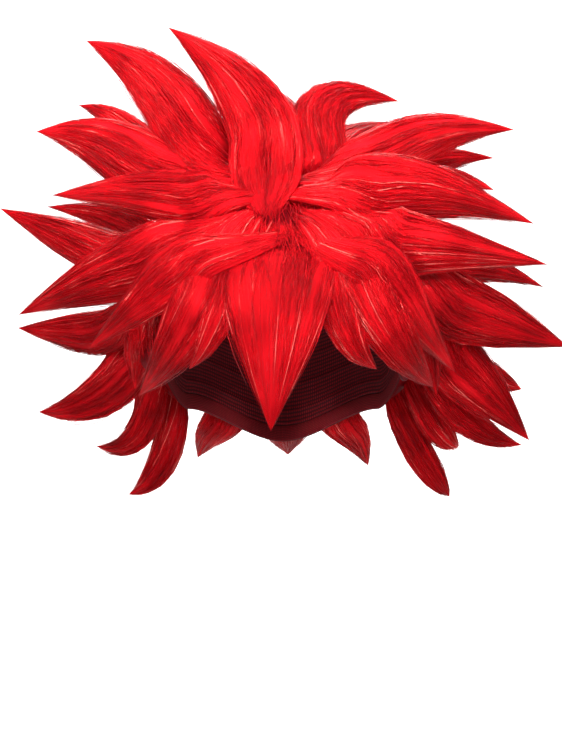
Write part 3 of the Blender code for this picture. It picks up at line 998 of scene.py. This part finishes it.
ROWS: tuple[HairRow, ...] = (
    HairRow("crown_locks", Strip((-180.0, 180.0), (0.0, 0.27)), Facing.FRONT, (
        Lock((-20, 16), (-0.1, -0.17, 0.33), (-0.4, -0.11, 0.62), 0.95, 0.75, (-8, 44, -14, 28, 4)),
        Lock((100, 20), (0.14, 0.22, 0.37), (0.43, 0.34, 0.42), 0.8, 0.7),
        Lock((-70, 12), (-0.12, 0.06, 0.22), (-0.22, 0.14, 0.4), 0.8, 0.8),
        Lock((175, 20), (0.0, 0.3, 0.28), (-0.04, 0.48, 0.49), 1.0, 0.75),
        Lock((140, 22), (0.22, 0.42, 0.22), (0.42, 0.64, 0.38), 0.95, 0.7),
        Lock((-125, 20), (-0.3, 0.34, 0.24), (-0.43, 0.62, 0.44), 0.95, 0.7),
    ), 1),
    HairRow("fringe_locks", Strip((-46.0, 46.0), (0.31, 0.98)), Facing.OUTWARD, (
        Lock((0, 36), (-0.02, -0.61, -0.36), (-0.04, -0.64, -0.77), 1.4, 0.3, (-1, 32, -1, 46, -2)),
        Lock((-36, 48), (-0.31, -0.5, -0.41), (-0.49, -0.27, -0.66), 0.9, 0.42, (-14, 26, -26, 42, 3)),
        Lock((-26, 54), (-0.23, -0.55, -0.41), (-0.31, -0.47, -0.57), 0.55, 0.48, (-12, 30, -19, 45, 3)),
        Lock((38, 48), (0.34, -0.49, -0.42), (0.51, -0.29, -0.63), 0.9, 0.42, (4, 26, 22, 42, 3)),
        Lock((26, 54), (0.2, -0.56, -0.43), (0.31, -0.48, -0.57), 0.55, 0.48, (4, 30, 15, 45, 3)),
    ), 2),
    HairRow("right_upper_locks", Strip(RIGHT, UPPER), Facing.FRONT, (
        Lock((-60, 27), (-0.4, -0.03, 0.38), (-0.7, 0.06, 0.6), 0.9, 0.7),
        Lock((-100, 40), (-0.52, 0.2, 0.26), (-0.75, 0.29, 0.4), 0.5, 0.8),
        Lock((-70, 40), (-0.55, -0.05, 0.18), (-0.87, 0.0, 0.27), 0.95, 0.65, (10, 14, -40, 24, 6)),
        Lock((-50, 34), (-0.4, -0.26, 0.02), (-0.81, -0.06, 0.04), 0.75, 0.65, (-2, 20, -28, 28, 6)),
        Lock((-122, 40), (-0.46, 0.42, 0.14), (-0.6, 0.62, 0.18), 0.85, 0.75),
    ), 3),
    HairRow("left_upper_locks", Strip(LEFT, UPPER), Facing.FRONT, (
        Lock((55, 30), (0.43, -0.03, 0.22), (0.82, 0.03, 0.28), 0.82, 0.7, (-30, 14, 25, 16, 7)),
        Lock((100, 42), (0.46, 0.17, 0.14), (0.77, 0.23, 0.2), 0.6, 0.75),
        Lock((50, 34), (0.4, -0.24, 0.05), (0.88, -0.06, -0.06), 0.95, 0.6, (-14, 20, 22, 27, 7)),
        Lock((78, 44), (0.5, 0.04, 0.08), (0.755, 0.08, 0.07), 0.6, 0.75),
        Lock((122, 40), (0.46, 0.42, 0.12), (0.64, 0.6, 0.12), 0.85, 0.75),
    ), 4),
    HairRow("back_upper_locks", Strip(BACK, UPPER), Facing.ABOVE, (
        Lock((-170, 39), (-0.1, 0.6, 0.15), (-0.16, 0.86, 0.32), 0.92, 0.6),
        Lock((152, 40), (0.31, 0.53, 0.07), (0.52, 0.74, 0.15), 0.9, 0.6),
        Lock((171, 43), (0.13, 0.68, 0.01), (0.22, 0.94, 0.06), 0.92, 0.6),
        Lock((-151, 42), (-0.32, 0.56, 0.03), (-0.5, 0.77, 0.1), 0.9, 0.6),
    ), 5),
    HairRow("right_side_locks", Strip(RIGHT, MIDDLE), Facing.FRONT, (
        Lock((-115, 60), (-0.56, 0.29, -0.05), (-0.87, 0.31, 0.03), 0.5, 0.8),
        Lock((-85, 60), (-0.69, 0.03, -0.135), (-1.0, 0.0, 0.0), 0.65, 0.75),
        Lock((-56, 54), (-0.54, -0.26, -0.23), (-0.92, -0.11, -0.38), 0.95, 0.6, (1, 31, -36, 48, 7)),
        Lock((-52, 56), (-0.4, -0.45, -0.29), (-0.66, -0.29, -0.5), 0.7, 0.5, (18, 40, -20, 56, 9)),
        Lock((-128, 66), (-0.52, 0.46, -0.16), (-0.68, 0.64, -0.12), 0.85, 0.7),
    ), 6),
    HairRow("left_side_locks", Strip(LEFT, MIDDLE), Facing.FRONT, (
        Lock((54, 52), (0.44, -0.35, -0.15), (0.91, -0.2, -0.21), 0.9, 0.6, (1, 26, 37, 40, 7)),
        Lock((98, 64), (0.62, 0.11, -0.19), (0.95, 0.23, -0.27), 0.6, 0.75),
        Lock((56, 60), (0.37, -0.44, -0.31), (0.59, -0.23, -0.58), 0.8, 0.5, (-2, 37, 24, 57, 8)),
        Lock((74, 66), (0.67, -0.13, -0.38), (1.0, -0.06, -0.49), 0.92, 0.6, (14, 29, 52, 52, 3)),
        Lock((126, 66), (0.54, 0.44, -0.2), (0.72, 0.62, -0.22), 0.85, 0.7),
    ), 7),
    HairRow("back_middle_locks", Strip(BACK, MIDDLE), Facing.ABOVE, (
        Lock((150, 66), (0.43, 0.61, -0.22), (0.6, 0.8, -0.27), 0.85, 0.6),
        Lock((-172, 68), (-0.12, 0.78, -0.17), (-0.18, 0.99, -0.1), 0.9, 0.6),
        Lock((171, 70), (0.15, 0.79, -0.25), (0.23, 1.0, -0.32), 0.9, 0.6),
        Lock((-150, 68), (-0.43, 0.63, -0.22), (-0.58, 0.82, -0.18), 0.85, 0.6),
    ), 8),
    HairRow("right_lower_locks", Strip(RIGHT, LOWER), Facing.FRONT, (
        Lock((-80, 80), (-0.7, 0.06, -0.44), (-0.95, 0.11, -0.42), 0.6, 0.75),
        Lock((-62, 84), (-0.48, -0.2, -0.5), (-0.51, -0.16, -0.64), 0.55, 0.55),
        Lock((-100, 82), (-0.64, 0.03, -0.66), (-0.87, 0.06, -0.72), 0.65, 0.75),
        Lock((-114, 92), (-0.53, 0.29, -0.81), (-0.69, 0.34, -0.85), 0.43, 0.8),
        Lock((-129, 102), (-0.45, 0.34, -0.92), (-0.57, 0.34, -1.03), 0.45, 0.8),
        Lock((-129, 86), (-0.52, 0.44, -0.48), (-0.66, 0.62, -0.48), 0.8, 0.7),
    ), 9),
    HairRow("left_lower_locks", Strip(LEFT, LOWER), Facing.FRONT, (
        Lock((84, 80), (0.66, -0.03, -0.6), (0.87, 0.0, -0.82), 0.8, 0.65),
        Lock((62, 84), (0.48, -0.2, -0.5), (0.53, -0.16, -0.66), 0.55, 0.55),
        Lock((105, 82), (0.71, 0.2, -0.58), (0.87, 0.24, -0.64), 0.5, 0.8),
        Lock((100, 84), (0.65, 0.11, -0.74), (0.86, 0.14, -0.84), 0.5, 0.75),
        Lock((116, 94), (0.57, 0.29, -0.79), (0.65, 0.34, -0.85), 0.42, 0.8),
        Lock((130, 102), (0.53, 0.37, -0.92), (0.62, 0.4, -1.04), 0.42, 0.8),
        Lock((129, 86), (0.54, 0.46, -0.52), (0.7, 0.62, -0.54), 0.8, 0.7),
    ), 10),
    HairRow("nape_locks", Strip(BACK, LOWER), Facing.ABOVE, (
        Lock((-171, 95), (-0.12, 0.75, -0.51), (-0.16, 0.92, -0.5), 0.8, 0.6),
        Lock((152, 94), (0.41, 0.61, -0.53), (0.55, 0.77, -0.62), 0.75, 0.6),
        Lock((171, 96), (0.12, 0.74, -0.56), (0.17, 0.9, -0.66), 0.8, 0.6),
        Lock((-152, 96), (-0.42, 0.62, -0.54), (-0.54, 0.78, -0.57), 0.75, 0.6),
        Lock((162, 111), (0.25, 0.62, -0.8), (0.33, 0.71, -0.94), 0.7, 0.62),
        Lock((181, 112), (0.01, 0.67, -0.8), (0.02, 0.78, -0.9), 0.75, 0.62),
        Lock((-161, 110), (-0.25, 0.62, -0.79), (-0.33, 0.73, -0.91), 0.7, 0.62),
    ), 11),
)


@dataclass(frozen=True)
class Lamp:
    """A soft box lamp that looks at the wig.

    Its place and its size, wide and tall, are in metres, its power in watts. It aims at
    a height in metres over the origin, through a grid that lets a spread in degrees out.
    """

    name: str
    place: tuple[float, float, float]
    size: tuple[float, float]
    power: float
    aim_height: float = -0.05
    spread: float = 180.0

    def hang(self) -> None:
        """Hang the lamp and turn it towards its aim."""
        light = bpy.data.lights.new(self.name, "AREA")
        light.shape, (light.size, light.size_y) = "RECTANGLE", self.size
        light.energy, light.spread = self.power, math.radians(self.spread)
        made = bpy.data.objects.new(self.name, light)
        bpy.context.scene.collection.objects.link(made)
        made.location = self.place
        aim = np.array([0.0, 0.0, self.aim_height]) - np.array(self.place)
        flat = math.hypot(aim[0], aim[1])
        made.rotation_euler = (
            math.atan2(flat, -aim[2]), 0.0, math.atan2(-aim[0], aim[1])
        )


LAMPS = (
    Lamp("key", (0.0, -1.7, 1.0), (1.6, 0.2), 1.0, aim_height=0.14, spread=17.0),
    Lamp("left", (1.5, -1.2, 0.9), (0.3, 0.2), 0.65, aim_height=0.12, spread=16.0),
    Lamp("right", (-1.5, -1.2, 0.9), (0.3, 0.2), 0.65, aim_height=0.12, spread=16.0),
    Lamp("top", (-0.1, -1.1, 2.2), (0.7, 0.7), 42),
    Lamp("fill", (0.0, -2.0, 0.3), (0.2, 0.2), 0.15, aim_height=-0.04, spread=10.0),
    Lamp("back", (0.1, 1.9, 1.7), (1.2, 1.2), 45),
)


@dataclass
class Studio:
    """Pale floor, lit backdrop, soft light and the camera at the photograph's angle."""

    floor_height: float = -0.42
    floor_radius: float = 2.2
    floor_points: int = 96
    backdrop_top: float = 2.0
    backdrop_arc: tuple[float, float] = (62.0, 118.0)
    backdrop_points: int = 49
    backdrop_glow: float = 0.9
    sky: float = 0.45
    eye: tuple[float, float, float] = (-0.0012, -1.3, -0.103)
    sensor_mm: float = 36.0
    focal_pixels: float = 2106
    photo_pixels: float = 750

    def stand(
        self, name: str, paint_name: str, points: Array, faces: Array, track: Array,
        glow: float = 0.0,
    ) -> None:
        """Stand a matt pale surface in the studio.

        Args:
            name: Name of the surface.
            paint_name: Name of its paint.
            points: Vertices, n by 3.
            faces: Triangles or quads that number those vertices.
            track: Two of the points' coordinates in millimetres, n by 2.
            glow: Strength of the white light that it gives off.
        """
        skin = Skin()
        skin.add(points, faces, np.zeros(len(points)), track)
        made = skin.to_object(name)
        paint = bpy.data.materials.new(paint_name)
        paint.use_nodes = True
        inputs = paint.node_tree.nodes["Principled BSDF"].inputs
        inputs["Base Color"].default_value = linear("#E6E6E6")
        inputs["Roughness"].default_value = 0.9
        inputs["Emission Color"].default_value = linear("#FFFFFF")
        inputs["Emission Strength"].default_value = glow
        made.data.materials.append(paint)

    def floor(self) -> None:
        """Lay a pale floor: a disc whose points are a radius times cosine and sine."""
        count = self.floor_points
        angle = np.linspace(0, math.tau, count, endpoint=False)
        ring = np.stack([np.cos(angle), np.sin(angle), 0 * angle], -1)
        points = np.concatenate([ring * self.floor_radius, np.zeros((1, 3))])
        points[:, 2] = self.floor_height
        side = np.arange(count)
        faces = np.stack([side, (side + 1) % count, side * 0 + count], -1)
        self.stand("floor", "pale_floor", points, faces, points[:, :2] * 1000)

    def backdrop(self) -> None:
        """Stand a lit backdrop behind: an arc whose points are cosine, sine and height."""
        count = self.backdrop_points
        angle = np.linspace(*np.radians(self.backdrop_arc), count)
        low = np.stack([np.cos(angle), np.sin(angle), 0 * angle], -1) * self.floor_radius
        points = np.concatenate([low, low])
        points[:count, 2], points[count:, 2] = self.floor_height, self.backdrop_top
        side = np.arange(count - 1)
        faces = np.stack([side + 1, side, side + count, side + count + 1], -1)
        track = points[:, ::2] * 1000
        self.stand("backdrop", "lit_backdrop", points, faces, track, self.backdrop_glow)

    def camera(self) -> None:
        """Set the camera level, in front of the wig, with the photograph's lens."""
        data = bpy.data.cameras.new("camera")
        data.sensor_width, data.sensor_fit = self.sensor_mm, "AUTO"
        data.lens = self.sensor_mm * self.focal_pixels / self.photo_pixels
        made = bpy.data.objects.new("camera", data)
        made.location = self.eye
        made.rotation_euler = (math.pi / 2, 0, 0)
        bpy.context.scene.collection.objects.link(made)
        bpy.context.scene.camera = made

    def build(self) -> None:
        """Set up the floor, the backdrop, the lamps, the sky and the camera."""
        self.floor()
        self.backdrop()
        for lamp in LAMPS:
            lamp.hang()
        world = bpy.data.worlds.new("studio")
        world.use_nodes = True
        background = world.node_tree.nodes["Background"]
        background.inputs["Color"].default_value = (1, 1, 1, 1)
        background.inputs["Strength"].default_value = self.sky
        bpy.context.scene.world = world
        bpy.context.scene.view_settings.view_transform = "Standard"
        self.camera()


def main() -> None:
    """Build the cap, the rows of hair and the studio."""
    logging.basicConfig(level=logging.INFO, format="%(message)s")
    StretchCap().build()
    combed = ModacrylicFibre("combed_fibre", 0.55, 0.12, "#FF4A42").material()
    single = ModacrylicFibre(
        "single_fibre", 0.3, 0.3, "#FF6A62", top_and_painted_glint="#FF8A80", dash_mm=4.0
    ).material()
    for row in ROWS:
        made = row.build()
        made.data.materials.append(combed)
        made.data.materials.append(single)
    Studio().build()


if __name__ == "__main__":
    main()
